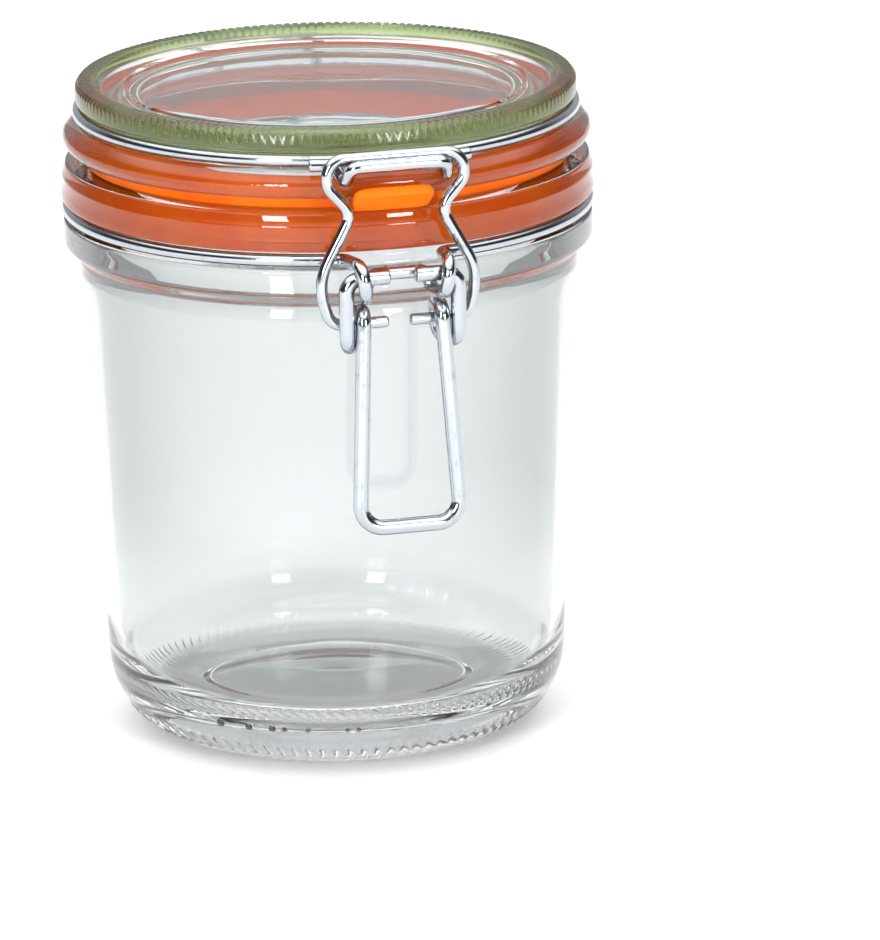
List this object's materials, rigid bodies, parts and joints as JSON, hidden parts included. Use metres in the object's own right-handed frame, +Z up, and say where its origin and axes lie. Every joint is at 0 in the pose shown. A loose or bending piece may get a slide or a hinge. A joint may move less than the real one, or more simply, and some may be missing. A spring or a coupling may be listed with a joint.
{
  "type": "swing-top jar",
  "caption": "Wide round glass jar with a glass lid, a flat rubber seal with a pull tab, and a wire swing latch: the lever pulls the bail down over the lid's wire nose.",
  "frame": {"origin": "centre of the base on the plane that the jar rests on", "axes": "+Z up along the jar's axis, -Y towards the latch, +X to the right of someone who faces the latch"},
  "size_m": [0.1194, 0.1409, 0.1489],
  "materials": {
    "clear_glass": "clear, pressed, glossy",
    "orange_rubber": "smooth, satin",
    "bright_steel_wire": "bright drawn wire"
  },
  "bodies": {
    "jar": {"jar_glass": "clear_glass", "lid_glass": "clear_glass", "seal": "orange_rubber", "neck_ring": "bright_steel_wire", "lid_ring": "bright_steel_wire", "lid_nose": "bright_steel_wire", "hinge_yoke": "bright_steel_wire"},
    "lever": {"lever": "bright_steel_wire"},
    "bail": {"bail": "bright_steel_wire"}
  },
  "joints": [
    {"name": "lever_swing", "type": "hinge", "parent": "jar", "child": "lever", "pos_m": [0, -0.06505, 0.118], "axis": [-1, 0, 0], "range_deg": [0, 65]},
    {"name": "bail_swing", "type": "hinge", "parent": "lever", "child": "bail", "pos_m": [0, -0.0617, 0.1072], "axis": [-1, 0, 0], "range_deg": [-45, 0]}
  ],
  "couplings": [
    {"joint": "bail_swing", "follows": "lever_swing", "ratio": -0.69}
  ]
}
